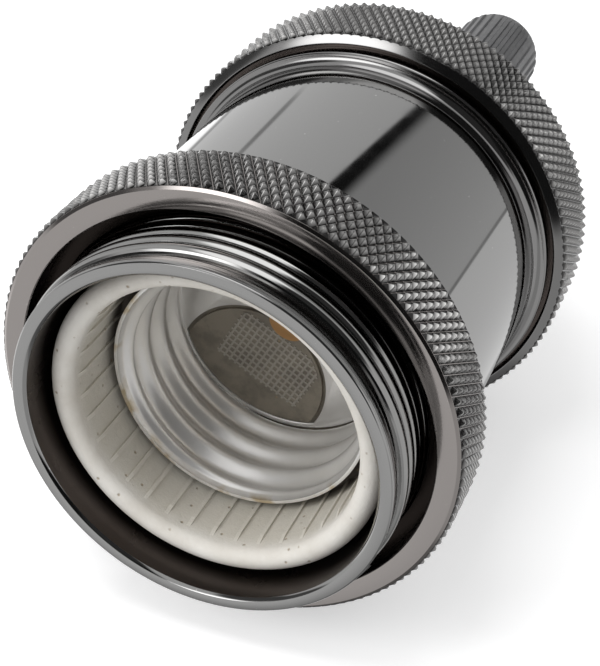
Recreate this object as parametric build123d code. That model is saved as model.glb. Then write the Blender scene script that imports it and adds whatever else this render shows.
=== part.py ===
from build123d import *
import os
from math import atan2, cos, degrees, pi, radians, sin, sqrt

# A screw lamp holder with a ceramic insert in a turned metal housing.
# The mouth lies in the plane z = 0 round the origin and the cord grip points up, along +Z.
# All sizes are in millimetres.

# Screw shell, E27 round thread
thread_pitch = 3.629
thread_mean_radius = 12.73
thread_wave = 0.55
thread_steps = 8
sheet = 0.35
lip_z = 9.8
lip_length = 1.6
shell_gap = 0.45
keyhole_gap = 1.9
keyhole_end_gap = 0.8
tab_width = 6.0
tab_rise = 3.6
tab_clearance = 0.4
shell_outer_radius = thread_mean_radius + thread_wave + sheet
shell_inner_radius = thread_mean_radius - thread_wave

# Ceramic insert
skirt_ledge = 0.82
skirt_wall = 2.4
crown_z = 3.0
floor_z = 22.4
base_thickness = 11.6
pocket_z = 14.0
skirt_step = 1.0
rib_count = 36
rib_start = 4.0
rib_height = 0.22
rib_width = 0.4
pad_radius = 8.1
pad_offset = 8.0
pad_height = 0.4
spring_recess = 0.6
pocket_radius = shell_outer_radius + shell_gap
wall_radius = pocket_radius + skirt_ledge
skirt_radius = wall_radius + skirt_wall
base_z = floor_z + base_thickness

# Body tube, from its bore outwards
bore_gap = 0.7
bore_depth = 17.0
bore_step = 1.4
body_wall = 1.6
thread_drop = 1.1
thread_length = 13.6
lead_in_drop = 0.4
lead_in_length = 1.2
relief_depth = 0.9
shoulder_z = 15.0
flange_z = 42.7
flange_thickness = 1.7
flange_rise = 0.9
flange_fillet = 1.0
fillet_steps = 4
plug_step = 0.4
plug_length = 6.0
edge = 0.3
bore_radius = skirt_radius + bore_gap
wide_bore_radius = bore_radius + bore_step
body_radius = wide_bore_radius + body_wall
thread_radius = body_radius - thread_drop
lead_in_radius = thread_radius - lead_in_drop
plug_radius = body_radius + plug_step
flange_radius = plug_radius + flange_rise
seat_z = flange_z + flange_thickness
plug_end_z = seat_z + plug_length

# Rear cap
rim_lap = 0.6
rim_width = 9.4
rim_wall = 1.55
lip_gap = 0.45
cap_clearance = 0.06
cap_wall = 1.4
step_height = 0.4
dome_step = 2.1
dome_foot = 0.4
dome_flat = 5.6
crown_drop = 0.45
collar_rim = 0.92
collar_height = 1.5
crown_thickness = 3.2
stem_clearance = 0.15
lip_radius = flange_radius + lip_gap
knurl_radius = lip_radius + rim_wall

# Shade ring and the knurled bands
knurl_bevel = 0.7
knurl_chamfer = 0.4
ring_z = 5.8
ring_width = 7.7
recess_width = 1.7
recess_depth = 2.6
ring_clearance = 0.08
face_radius = knurl_radius - knurl_bevel
recess_radius = thread_radius + recess_width

# Levels of the rear cap
rim_z = seat_z - rim_lap
rim_end_z = rim_z + rim_width
dome_radius = face_radius - dome_step
dome_bend = dome_radius - dome_flat
dome_z = rim_end_z + step_height + dome_foot
crown_top_z = dome_z + dome_bend - crown_drop
cap_top_z = crown_top_z + collar_height
cap_inner_z = cap_top_z - crown_thickness

# Contacts and terminals
strip_width = 4.2
strip_thickness = 0.5
strip_root_gap = 0.98
strip_tip_y = -0.2
strip_lift = 2.3
strip_gap = 0.5
rivet_radius = 1.1
rivet_head_radius = 1.9
rivet_head_height = 0.6
rivet_inset = 2.6
rivet_gap = 0.38
hole_clearance = 0.15
shell_rivet_angle = 46.6
block_width = 7.0
block_depth = 4.6
block_height = 6.0
block_foot = 1.0
wire_hole_radius = 1.4
terminal_screw_radius = 1.75
terminal_head_radius = 2.75
screw_head_height = 2.0
screw_end = 1.0
strip_root_y = strip_root_gap - shell_inner_radius
contact_rivet_y = strip_root_y + rivet_inset
strip_bend_y = contact_rivet_y + rivet_inset
shell_rivet_circle = shell_inner_radius - rivet_head_radius - rivet_gap
shell_rivet_x = shell_rivet_circle * sin(radians(shell_rivet_angle))
shell_rivet_y = -shell_rivet_circle * cos(radians(shell_rivet_angle))

# Cord grip
cord_hole_radius = 3.3
stem_wall = 1.65
stem_length = 6.4
washer_thickness = 0.6
washer_inset = 0.5
washer_teeth = 12
washer_notch = 0.8
hex_rim = 2.05
hex_height = 6.0
upper_stem_drop = 0.1
upper_stem_length = 10.5
lock_nut_height = 3.0
grip_gap = 0.6
grip_wall = 1.22
grip_length = 24.05
grip_rib_count = 28
grip_rib_height = 0.3
grip_crest_share = 0.18
grip_root_share = 0.3
grip_round = 2.2
jaw_length = 7.0
jaw_slots = 6
jaw_slot_width = 0.6
jaw_foot = 1.5
seal_length = 1.6
seal_squeeze = 0.4
seal_gap = 0.15
jaw_clearance = 0.38
stem_radius = cord_hole_radius + stem_wall
hex_flats = 2 * (stem_radius + hex_rim)
upper_stem_radius = stem_radius - upper_stem_drop
grip_thread_radius = upper_stem_radius + ring_clearance
jaw_radius = grip_thread_radius - jaw_clearance
grip_radius = grip_thread_radius + grip_wall
collar_radius = hex_flats / sqrt(3) + collar_rim
hex_z = cap_top_z + washer_thickness
grip_z = hex_z + hex_height + grip_gap

# Bridge that ties the ceramic insert to the cap
strap_width = 8.0
strap_thickness = 1.6
leg_gap = 0.3
foot_inset = 5.4
foot_length = 8.4
bridge_screw_radius = 1.75
bridge_head_radius = 2.9
bridge_head_height = 2.0
bridge_head_gap = 0.58
nut_flats = 5.5
nut_height = 2.4
earth_rise = 14.0
earth_screw_radius = 2.0
earth_head_radius = 4.0
earth_washer_side = 8.0
earth_washer_thickness = 1.0
bridge_screw_x = pocket_radius - bridge_head_radius - bridge_head_gap
leg_x = bridge_screw_x - foot_inset
leg_top_x = hex_flats / 2 + leg_gap


def turned(points):
    """Solid of revolution about Z from a closed outline of (radius, z) points."""
    outline = Polyline([(r, z) for r, z in points], close=True)
    return revolve(Plane.XZ * make_face(outline), Axis.Z, 360)


def tube(outer, inner, z, height):
    """Plain ring or sleeve standing on the level z."""
    ring = Circle(outer) - Circle(inner)
    return extrude(Pos(0, 0, z) * ring, height)


def rod(radius, x, y, z, height):
    """Plain round bar standing on the level z."""
    return Pos(x, y, z) * extrude(Circle(radius), height)


def bar(x_size, y_size, x, y, z, height):
    """Plain square bar, centred on x and y, standing on the level z."""
    return Pos(x, y, z) * extrude(Rectangle(x_size, y_size), height)


def hexagon(flats, z, height):
    """Hexagonal prism with two of its flats square to the X axis."""
    outline = RegularPolygon(flats / 2, 6, major_radius=False, rotation=30)
    return extrude(Pos(0, 0, z) * outline, height)


def body_shell():
    """Turned tube: outside thread at the mouth, plain barrel, flange and screw plug at the back."""
    relief_radius = thread_radius - relief_depth
    rise = thread_radius - lead_in_radius
    taper = wide_bore_radius - bore_radius
    fillet = []
    for step in range(fillet_steps + 1):
        angle = pi / 2 * step / fillet_steps
        fillet.append((body_radius + flange_fillet * (1 - cos(angle)),
                       flange_z - flange_fillet * (1 - sin(angle))))
    return turned([
        (bore_radius + edge, 0), (lead_in_radius - edge / 2, 0), (lead_in_radius, edge / 2),
        (lead_in_radius, lead_in_length), (thread_radius, lead_in_length + rise),
        (thread_radius, thread_length - relief_depth), (relief_radius, thread_length),
        (relief_radius, shoulder_z), (body_radius - edge, shoulder_z),
        (body_radius, shoulder_z + edge), *fillet,
        (flange_radius - edge / 2, flange_z), (flange_radius, flange_z + edge / 2),
        (flange_radius, seat_z), (plug_radius, seat_z), (plug_radius, plug_end_z - edge),
        (plug_radius - edge, plug_end_z), (wide_bore_radius, plug_end_z),
        (wide_bore_radius, bore_depth + taper), (bore_radius, bore_depth), (bore_radius, edge),
    ])


def shade_ring():
    """Knurled ring nut that clamps a shade against the shoulder of the body."""
    back_z = ring_z + ring_width
    hole = thread_radius + ring_clearance
    return turned([
        (recess_radius + edge, ring_z), (face_radius, ring_z),
        (knurl_radius, ring_z + knurl_chamfer), (knurl_radius, back_z - knurl_chamfer),
        (face_radius, back_z), (hole + edge, back_z), (hole, back_z - edge),
        (hole, ring_z + recess_depth + edge), (hole + edge, ring_z + recess_depth),
        (recess_radius, ring_z + recess_depth), (recess_radius, ring_z + edge),
    ])


def dome_profile(wall, top_z):
    """Right-hand outline of the dome, thinner by the wall, from its foot up to the level top_z."""
    bend = dome_bend - wall
    centre_r = dome_radius - dome_bend
    rise = top_z - dome_z
    top_r = centre_r + sqrt(bend ** 2 - rise ** 2)
    start = (centre_r + bend, dome_z)
    return RadiusArc(start, (top_r, top_z), -bend), start, (top_r, top_z)


def rear_cap():
    """Turned cap: knurled rim that screws on the plug, dome, and a collar for the cord grip."""
    thread = plug_radius + cap_clearance
    foot_z = rim_end_z + step_height
    outer_arc, outer_foot, outer_top = dome_profile(0, crown_top_z)
    inner_arc, inner_foot, inner_top = dome_profile(cap_wall, cap_inner_z)
    hole = stem_radius + stem_clearance
    cavity_z = plug_end_z + edge
    outline = (
        Polyline([(lip_radius + edge, rim_z), (face_radius, rim_z),
                  (knurl_radius, rim_z + knurl_chamfer), (knurl_radius, rim_end_z - knurl_chamfer),
                  (face_radius, rim_end_z), (dome_radius + step_height, rim_end_z),
                  (dome_radius, foot_z), outer_foot])
        + outer_arc
        + Polyline([outer_top, (collar_radius, crown_top_z), (collar_radius, cap_top_z - edge),
                    (collar_radius - edge, cap_top_z), (hole, cap_top_z), (hole, cap_inner_z),
                    inner_top])
        + inner_arc
        + Polyline([inner_foot, (inner_foot[0], foot_z), (thread - edge, cavity_z),
                    (thread, cavity_z), (thread, seat_z), (lip_radius, seat_z),
                    (lip_radius, rim_z + edge), (lip_radius + edge, rim_z)])
    )
    return revolve(Plane.XZ * make_face(outline), Axis.Z, 360)


def ceramic_insert():
    """Pressed steatite insert: rounded rim, ribbed skirt, floor with a pad, thick base."""
    half_wall = skirt_wall / 2
    rim_z_mid = crown_z + half_wall
    rim_top = (wall_radius + half_wall, crown_z)
    crown = ThreePointArc((wall_radius, rim_z_mid), rim_top, (skirt_radius, rim_z_mid))
    sides = Polyline([
        (skirt_radius, rim_z_mid), (skirt_radius, base_z - edge), (skirt_radius - edge, base_z),
        (0, base_z), (0, floor_z), (pocket_radius, floor_z), (pocket_radius, pocket_z),
        (wall_radius, pocket_z - skirt_step), (wall_radius, rim_z_mid),
    ])
    insert = revolve(Plane.XZ * make_face(crown + sides), Axis.Z, 360)
    rib_z = rim_z_mid + half_wall / 2
    rib_length = pocket_z - skirt_step - rib_z
    rib = bar(rib_height * 2, rib_width, wall_radius, 0, rib_z, rib_length)
    for turn in range(rib_count):
        insert += Rot(0, 0, rib_start + 360 * turn / rib_count) * rib
    pad_limit = shell_inner_radius - sheet
    pad = Pos(0, pad_offset, 0) * Circle(pad_radius) & Circle(pad_limit)
    insert += extrude(Pos(0, 0, floor_z - pad_height) * pad, pad_height)
    pad_z = floor_z - pad_height
    insert -= bar(strip_width + 2 * strip_gap, strip_tip_y - strip_root_y, 0,
                  (strip_tip_y + strip_root_y) / 2, pad_z, pad_height + spring_recess)
    insert -= rod(rivet_radius + hole_clearance, 0, contact_rivet_y, floor_z, base_thickness)
    for side in (-1, 1):
        x = side * shell_rivet_x
        insert -= rod(rivet_radius + hole_clearance, x, shell_rivet_y, floor_z, base_thickness)
        x = side * bridge_screw_x
        insert -= rod(bridge_screw_radius + hole_clearance, x, 0, floor_z, base_thickness)
        insert -= rod(bridge_head_radius + hole_clearance, x, 0, floor_z, bridge_head_height + edge)
    insert -= bar(tab_width + 2 * tab_clearance, sheet + 2 * tab_clearance, 0, tab_y(),
                  floor_z, base_thickness)
    return insert


def tab_y():
    """Middle of the terminal tab that the screw shell sends back through the base."""
    return thread_mean_radius - sheet / 2


def thread_centre(z):
    """Centre of the shell's round section at the level z: it goes round the axis once a pitch."""
    turn = 2 * pi * (z - lip_z - lip_length) / thread_pitch
    return thread_wave * cos(turn), thread_wave * sin(turn)


def shell_skin(offset):
    """Solid inside one skin of the shell: a flared lip, then off-centre circles."""
    start_z = lip_z + lip_length
    rise = floor_z - sheet - start_z
    steps = round(rise / thread_pitch * thread_steps)
    sections = [Pos(0, 0, lip_z) * Circle(shell_outer_radius - sheet + offset)]
    for step in range(steps + 1):
        z = start_z + rise * step / steps
        sections.append(Pos(*thread_centre(z), z) * Circle(thread_mean_radius + offset))
    return loft([section.face() for section in sections], ruled=True)


def shell_bottom():
    """Flat bottom, cut out round the pad of the floor and round the contact spring."""
    hole = Circle(rivet_radius + hole_clearance)
    disc = Pos(*thread_centre(floor_z - sheet), 0) * Circle(thread_mean_radius + sheet)
    disc -= Pos(0, pad_offset, 0) * Circle(pad_radius + tab_clearance)
    keyhole_width = strip_width + 2 * keyhole_gap
    keyhole_reach = keyhole_end_gap - strip_root_y
    disc -= Pos(0, -keyhole_reach / 2, 0) * Rectangle(keyhole_width, keyhole_reach)
    disc -= Circle(keyhole_width / 2)
    for side in (-1, 1):
        disc -= Pos(side * shell_rivet_x, shell_rivet_y, 0) * hole
    return extrude(Pos(0, 0, floor_z - sheet) * disc, sheet)


def screw_shell():
    """Rolled sheet shell: flared lip, round thread, cut-out bottom and a terminal tab."""
    tab = bar(tab_width, sheet, 0, tab_y(), floor_z - 2 * sheet, base_thickness + tab_rise)
    return shell_skin(sheet) - shell_skin(0) + shell_bottom() + tab


def rivet(x, y, head_z, tail_z):
    """Rivet with a flat head below head_z and a closed head above tail_z."""
    solid = rod(rivet_radius, x, y, head_z, tail_z - head_z)
    solid += rod(rivet_head_radius, x, y, head_z - rivet_head_height, rivet_head_height)
    solid += rod(rivet_head_radius, x, y, tail_z, rivet_head_height)
    return solid


def shell_rivets():
    """Two rivets that hold the bottom of the screw shell to the ceramic base."""
    z = floor_z - sheet
    return [rivet(side * shell_rivet_x, shell_rivet_y, z, base_z) for side in (-1, 1)]


def strip_profile():
    """Side outline of the contact spring in (y, z), flat at its root and arched to its tip."""
    flat_z = floor_z - strip_thickness
    crest_y = strip_tip_y - strip_width / 2
    path = [(strip_root_y, flat_z), (strip_bend_y, flat_z),
            (crest_y, flat_z - strip_lift), (strip_tip_y, flat_z - strip_lift + strip_thickness)]
    back = [(y, z + strip_thickness) for y, z in reversed(path)]
    return Polyline(path + back, close=True)


def centre_contact():
    """Springy bronze tongue that meets the foot contact of the bulb."""
    side = Plane.YZ * make_face(strip_profile())
    strip = extrude(side, strip_width / 2, both=True)
    tip_y = strip_tip_y - strip_width / 2
    plan = Pos(0, tip_y, 0) * Circle(strip_width / 2)
    plan += Pos(0, (tip_y + strip_root_y) / 2, 0) * Rectangle(strip_width, tip_y - strip_root_y)
    strip = strip & extrude(plan, floor_z)
    hole = rivet_radius + hole_clearance
    return strip - rod(hole, 0, contact_rivet_y, floor_z - 2 * strip_thickness, floor_z)


def contact_rivet():
    """Rivet that carries the current from the tongue to the terminal behind the base."""
    return rivet(0, contact_rivet_y, floor_z - strip_thickness, base_z + block_foot)


def terminal_block(y, foot_y):
    """Brass block with a wire hole along Y and a tapped hole from the top."""
    block = bar(block_width, block_depth, 0, y, base_z, block_height)
    wire_z = base_z + block_height / 2
    block -= Pos(0, y, wire_z) * Rot(90, 0, 0) * Cylinder(wire_hole_radius, 2 * block_depth)
    block -= rod(terminal_screw_radius, 0, y, wire_z, block_height)
    if foot_y is None:
        return block
    inner = y + block_depth / 2
    reach = foot_y + rivet_head_radius - inner
    foot = bar(block_width, reach, 0, inner + reach / 2, base_z, block_foot)
    return block + foot - rod(rivet_radius + hole_clearance, 0, foot_y, base_z, block_foot)


def live_block_y():
    """Middle of the live block, clear of the rivet head beside it."""
    return contact_rivet_y - rivet_head_radius - hole_clearance - block_depth / 2


def neutral_block_y():
    """Middle of the neutral block, flat against the tab of the screw shell."""
    return tab_y() - sheet / 2 - block_depth / 2


def live_terminal():
    """Terminal block with a foot under the contact rivet."""
    return terminal_block(live_block_y(), contact_rivet_y)


def neutral_terminal():
    """Terminal block that is brazed to the tab of the screw shell."""
    return terminal_block(neutral_block_y(), None)


def slotted_screw(shank, head, head_height, length):
    """Cheese-head screw, head up, with the underside of its head in the plane z = 0."""
    screw = extrude(Circle(head), head_height)
    screw += Pos(0, 0, -length) * extrude(Circle(shank), length)
    slot = Rectangle(2 * head, head / 3)
    return screw - extrude(Pos(0, 0, head_height / 2) * slot, head_height)


def terminal_screws():
    """Two screws that press the wires in the terminal blocks."""
    length = block_height / 2
    screw = slotted_screw(terminal_screw_radius, terminal_head_radius, screw_head_height, length)
    top_z = base_z + block_height
    return [Pos(0, y, top_z) * screw for y in (live_block_y(), neutral_block_y())]


def leg_lean():
    """Angle in degrees by which each leg of the bridge leans outwards."""
    return degrees(atan2(leg_top_x - leg_x, cap_inner_z - base_z))


def bridge():
    """Bent steel strap: two feet on the ceramic base, two leaning legs, a plate under the cap."""
    top_z = cap_inner_z
    sole_z = base_z + strap_thickness
    plate_z = top_z - strap_thickness
    right = [(leg_x, base_z), (leg_x + foot_length, base_z), (leg_x + foot_length, sole_z),
             (leg_x + strap_thickness, sole_z), (leg_top_x + strap_thickness, top_z)]
    inside = [(-leg_top_x, plate_z), (leg_top_x, plate_z)]
    left = [(-x, z) for x, z in reversed(right)]
    outline = Plane.XZ * make_face(Polyline(right + left + inside, close=True))
    strap = extrude(outline, strap_width / 2, both=True)
    strap += rod(leg_top_x + strap_thickness / 2, 0, 0, plate_z, strap_thickness)
    strap -= rod(stem_radius + stem_clearance, 0, 0, plate_z, strap_thickness)
    for side in (-1, 1):
        strap -= rod(bridge_screw_radius, side * bridge_screw_x, 0, base_z, strap_thickness)
    hole = extrude(Circle(earth_screw_radius), 3 * strap_thickness)
    return strap - earth_place() * Pos(0, 0, -2 * strap_thickness) * hole


def bridge_screws():
    """Two screws from the floor of the socket through the base into the feet of the bridge."""
    head_z = floor_z + bridge_head_height + edge
    length = base_z + strap_thickness + nut_height + screw_end - head_z
    screw = slotted_screw(bridge_screw_radius, bridge_head_radius, bridge_head_height, length)
    return [Pos(side * bridge_screw_x, 0, head_z) * Rot(180, 0, 0) * screw for side in (-1, 1)]


def bridge_nuts():
    """Hexagon nuts that lock the two bridge screws above the feet."""
    nut = hexagon(nut_flats, base_z + strap_thickness, nut_height)
    nut -= rod(bridge_screw_radius, 0, 0, base_z + strap_thickness, nut_height)
    return [Pos(side * bridge_screw_x, 0, 0) * nut for side in (-1, 1)]


def earth_place():
    """Outer face of the right leg at the height of the earth screw, with Z pointing outwards."""
    rise = earth_rise / (cap_inner_z - base_z)
    x = leg_x + strap_thickness + (leg_top_x - leg_x) * rise
    return Pos(x, 0, base_z + earth_rise) * Rot(0, 90 + leg_lean(), 0)


def earth_washer():
    """Square cup washer that traps the earth wire on the leg of the bridge."""
    plate = Rectangle(earth_washer_side, earth_washer_side)
    plate -= Circle(earth_screw_radius + hole_clearance)
    return earth_place() * extrude(plate, earth_washer_thickness)


def earth_screw():
    """Earth screw in the leg of the bridge."""
    length = earth_washer_thickness + strap_thickness + screw_end
    screw = slotted_screw(earth_screw_radius, earth_head_radius, screw_head_height, length)
    return earth_place() * Pos(0, 0, earth_washer_thickness) * screw


def lock_washer():
    """Toothed washer between the cap and the hexagon of the cord grip."""
    washer_radius = hex_flats / 2 - washer_inset
    washer = Circle(washer_radius) - Circle(stem_radius + stem_clearance)
    notch = Pos(washer_radius, 0, 0) * Rectangle(2 * washer_notch, washer_notch)
    for turn in range(washer_teeth):
        washer -= Rot(0, 0, 360 * turn / washer_teeth) * notch
    return extrude(Pos(0, 0, cap_top_z) * washer, washer_thickness)


def grip_body():
    """Hollow stem of the cord grip with its hexagon and the seat of the clamping jaws."""
    stem_z = hex_z - washer_thickness - crown_thickness - stem_length
    body = rod(stem_radius, 0, 0, stem_z, hex_z - stem_z)
    body += chamfer(hexagon(hex_flats, hex_z, hex_height).edges().filter_by(Plane.XY), edge)
    body += rod(upper_stem_radius, 0, 0, hex_z + hex_height, upper_stem_length)
    return body - rod(cord_hole_radius, 0, 0, stem_z, jaw_z() - stem_z)


def lock_nut():
    """Thin nut that pulls the bridge up against the cap."""
    nut_z = cap_inner_z - strap_thickness - lock_nut_height
    nut = chamfer(hexagon(hex_flats, nut_z, lock_nut_height).edges().filter_by(Plane.XY), edge)
    return nut - rod(stem_radius, 0, 0, nut_z, lock_nut_height)


def jaw_z():
    """Level where the jaws stand on the stem of the grip."""
    return hex_z + hex_height + upper_stem_length


def grip_jaws():
    """Ring of nylon jaws that close on the cord."""
    jaws = tube(jaw_radius, cord_hole_radius, jaw_z(), jaw_length)
    slot = bar(jaw_radius, jaw_slot_width, jaw_radius, 0, jaw_z() + jaw_foot, jaw_length)
    for turn in range(jaw_slots):
        jaws -= Rot(0, 0, 360 * turn / jaw_slots) * slot
    return jaws


def grip_seal():
    """Soft ring between the jaws and the end of the grip nut."""
    return tube(jaw_radius, cord_hole_radius - seal_squeeze, jaw_z() + jaw_length, seal_length)


def grip_nut():
    """Ribbed hood nut with a rounded end."""
    root = grip_radius - grip_rib_height
    crest = grip_crest_share
    valley = grip_root_share
    rib = ((-valley, root), (-crest, grip_radius), (crest, grip_radius), (valley, root))
    points = []
    for turn in range(grip_rib_count):
        for share, radius in rib:
            angle = 2 * pi * (turn + share) / grip_rib_count
            points.append((radius * cos(angle), radius * sin(angle)))
    ribbed = extrude(Pos(0, 0, grip_z) * make_face(Polyline(points, close=True)), grip_length)
    hood = rod(grip_radius, 0, 0, grip_z, grip_length)
    hood = fillet(hood.edges().group_by(Axis.Z)[-1], grip_round)
    hood = chamfer(hood.edges().group_by(Axis.Z)[0], edge)
    nut = (ribbed & hood) - rod(cord_hole_radius + edge, 0, 0, grip_z, grip_length)
    bore_end_z = jaw_z() + jaw_length + seal_length + seal_gap
    return nut - rod(grip_thread_radius, 0, 0, grip_z, bore_end_z - grip_z)


def save(name, shape):
    """Write one node, which may be a group of separate solids."""
    shapes = shape if isinstance(shape, list) else [shape]
    solids = [solid for item in shapes for solid in item.solids()]
    node = solids[0] if len(solids) == 1 else Compound(children=solids)
    node.label = name
    export_step(node, f"parts/{name}.step")


os.makedirs("parts", exist_ok=True)
save("body_shell", body_shell())
save("shade_ring", shade_ring())
save("rear_cap", rear_cap())
save("ceramic_insert", ceramic_insert())
save("screw_shell", screw_shell())
save("shell_rivets", shell_rivets())
save("centre_contact", centre_contact())
save("contact_rivet", contact_rivet())
save("live_terminal", live_terminal())
save("neutral_terminal", neutral_terminal())
save("terminal_screws", terminal_screws())
save("bridge", bridge())
save("bridge_screws", bridge_screws())
save("bridge_nuts", bridge_nuts())
save("earth_washer", earth_washer())
save("earth_screw", earth_screw())
save("lock_washer", lock_washer())
save("grip_body", grip_body())
save("lock_nut", lock_nut())
save("grip_jaws", grip_jaws())
save("grip_seal", grip_seal())
save("grip_nut", grip_nut())
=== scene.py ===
import bpy
from math import cos, hypot, inf, pi, radians, sin
from mathutils import Matrix, Vector


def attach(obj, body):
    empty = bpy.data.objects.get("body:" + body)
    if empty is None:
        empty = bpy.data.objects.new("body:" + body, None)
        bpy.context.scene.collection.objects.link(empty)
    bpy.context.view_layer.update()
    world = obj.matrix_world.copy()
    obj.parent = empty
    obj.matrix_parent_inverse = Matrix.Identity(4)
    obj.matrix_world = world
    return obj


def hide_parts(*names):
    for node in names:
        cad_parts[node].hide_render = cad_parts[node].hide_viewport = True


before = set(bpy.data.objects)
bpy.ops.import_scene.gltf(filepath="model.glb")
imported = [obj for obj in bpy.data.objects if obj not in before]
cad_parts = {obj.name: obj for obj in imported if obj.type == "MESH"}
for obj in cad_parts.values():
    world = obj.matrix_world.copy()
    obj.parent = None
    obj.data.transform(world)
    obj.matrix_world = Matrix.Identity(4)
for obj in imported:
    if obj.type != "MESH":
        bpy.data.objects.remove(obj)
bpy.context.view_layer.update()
MM = 0.001


# Studio. The camera looks up into the mouth at the photograph's angle. A pale sheet lies
# against the two knurled bands, where the holder rests. It shows to the camera from its
# front only and lets every other ray through, so it keeps no light from the holder.
SENSOR_WIDTH = 36.0
FOCAL_LENGTH_PIXELS = 1496.1
PICTURE_LONG_SIDE = 666
CAMERA_PLACE = Vector((1.51, -98.92, -98.38))
REST_DISTANCE = 24.32
FLOOR_SIZE = 3.0
FLOOR_GLOW = 0.42
camera_data = bpy.data.cameras.new("studio_camera")
camera = bpy.data.objects.new("studio_camera", camera_data)
bpy.context.scene.collection.objects.link(camera)
bpy.context.scene.camera = camera
camera_data.sensor_width = SENSOR_WIDTH
camera_data.lens = SENSOR_WIDTH * FOCAL_LENGTH_PIXELS / PICTURE_LONG_SIDE
camera_data.clip_start = 0.005
camera_right = Vector((0.8012, -0.4634, 0.3786))
camera_up = Vector((-0.5984, -0.6205, 0.5069))
camera_back = camera_right.cross(camera_up)
camera.matrix_world = Matrix.Translation(CAMERA_PLACE * MM) @ Matrix(
    (camera_right, camera_up, camera_back)).transposed().to_4x4()
rest_normal = Vector((-0.4995, -0.8663, 0))


def clear_selection():
    """Leaves edit mode and deselects every object, the CAD nodes among them."""
    if bpy.context.object and bpy.context.object.mode != "OBJECT":
        bpy.ops.object.mode_set(mode="OBJECT")
    bpy.ops.object.select_all(action="DESELECT")


def new_material(name):
    """A node material with its Principled shader and Object coordinates."""
    material = bpy.data.materials.new(name)
    material.use_nodes = True
    nodes = material.node_tree.nodes
    place = nodes.new("ShaderNodeTexCoord").outputs["Object"]
    return material, nodes, material.node_tree.links, nodes["Principled BSDF"], place


def math_node(nodes, links, operation, *values):
    """A Math node whose inputs are sockets or plain numbers."""
    node = nodes.new("ShaderNodeMath")
    node.operation = operation
    for socket, value in zip(node.inputs, values):
        if isinstance(value, (int, float)):
            socket.default_value = value
        else:
            links.new(value, socket)
    return node.outputs[0]


def map_node(nodes, links, value, from_low, from_high, to_low=0.0, to_high=1.0, kind="LINEAR"):
    """A value mapped from one range to another and held at its ends."""
    node = nodes.new("ShaderNodeMapRange")
    node.interpolation_type = kind
    links.new(value, node.inputs["Value"])
    for socket, level in zip(("From Min", "From Max", "To Min", "To Max"),
                             (from_low, from_high, to_low, to_high)):
        node.inputs[socket].default_value = level
    return node.outputs["Result"]


clear_selection()
bpy.ops.mesh.primitive_plane_add(
    size=FLOOR_SIZE, location=rest_normal * -REST_DISTANCE * MM,
    rotation=rest_normal.to_track_quat("Z", "Y").to_euler())
studio_floor = bpy.context.object
studio_floor.name = "studio_floor"
floor_paper, nodes, links, paper_shader, place = new_material("floor_paper")
paper_shader.inputs["Base Color"].default_value = (0.80, 0.80, 0.805, 1)
paper_shader.inputs["Roughness"].default_value = 1.0
paper_shader.inputs["Specular IOR Level"].default_value = 0.0
paper_shader.inputs["Emission Color"].default_value = (1, 1, 1, 1)
paper_shader.inputs["Emission Strength"].default_value = FLOOR_GLOW
clear_sheet = nodes.new("ShaderNodeBsdfTransparent")
front_only = math_node(nodes, links, "SUBTRACT",
                       nodes.new("ShaderNodeLightPath").outputs["Is Camera Ray"],
                       nodes.new("ShaderNodeNewGeometry").outputs["Backfacing"])
sheet_mix = nodes.new("ShaderNodeMixShader")
links.new(math_node(nodes, links, "MAXIMUM", front_only, 0.0), sheet_mix.inputs["Fac"])
links.new(clear_sheet.outputs[0], sheet_mix.inputs[1])
links.new(paper_shader.outputs[0], sheet_mix.inputs[2])
links.new(sheet_mix.outputs[0], nodes["Material Output"].inputs["Surface"])
studio_floor.data.materials.append(floor_paper)


# Studio light. The room is one plain pale level. Polished metal also sees what stands in a
# studio: cards, flags and softboxes round the holder, and the dark place of the camera. Two
# softboxes are lamps too, and light all but the metal's gloss.
PLAIN_LEVEL = 0.70
GLOSS_LEVEL = 0.78
BELOW_LEVEL = 0.15
LAMP_SIZE = (0.22, 0.16)
LAMP_AIM = Vector((0, 0, 0.02))
room_up = rest_normal.normalized()
world = bpy.data.worlds.new("pale_room")
bpy.context.scene.world = world
world.use_nodes = True
nodes, links = world.node_tree.nodes, world.node_tree.links
room = nodes["Background"]
room_direction = nodes.new("ShaderNodeTexCoord").outputs["Generated"]


def product(nodes, links, *values):
    """All the values multiplied, which is the part inside every one of several masks."""
    result = values[0]
    for value in values[1:]:
        result = math_node(nodes, links, "MULTIPLY", result, value)
    return result


def room_along(axis):
    """How far a direction of the room points along an axis."""
    dot = nodes.new("ShaderNodeVectorMath")
    dot.operation = "DOT_PRODUCT"
    links.new(room_direction, dot.inputs[0])
    dot.inputs[1].default_value = Vector(axis).normalized()
    return dot.outputs["Value"]


def room_step(value, start, end):
    """A soft edge in the room, 0 at start and 1 at end."""
    if start > end:
        return math_node(nodes, links, "SUBTRACT", 1.0,
                         map_node(nodes, links, value, end, start, kind="SMOOTHSTEP"))
    return map_node(nodes, links, value, start, end, kind="SMOOTHSTEP")


def room_layer(base, level, mask):
    """Lays a light level over the room inside a mask."""
    mix = nodes.new("ShaderNodeMix")
    links.new(mask, mix.inputs["Factor"])
    for value, socket in ((base, mix.inputs["A"]), (level, mix.inputs["B"])):
        if isinstance(value, float):
            socket.default_value = value
        else:
            links.new(value, socket)
    return mix.outputs["Result"]


behind = room_along((0, 0, 1))
beyond = room_step(behind, 0.25, 0.45)
flag_edge = room_along((-0.274, 0.857, 0.437))
flag_fade = room_along((-0.531, 0.707, 0.468))
card_edge = room_along((-0.675, -0.700, 0.231))
streak_edge = room_along((-0.050, 0.998, -0.033))
left_side = room_along((0, 1, 0))
rightward = room_along((1, 0, 0))

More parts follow.
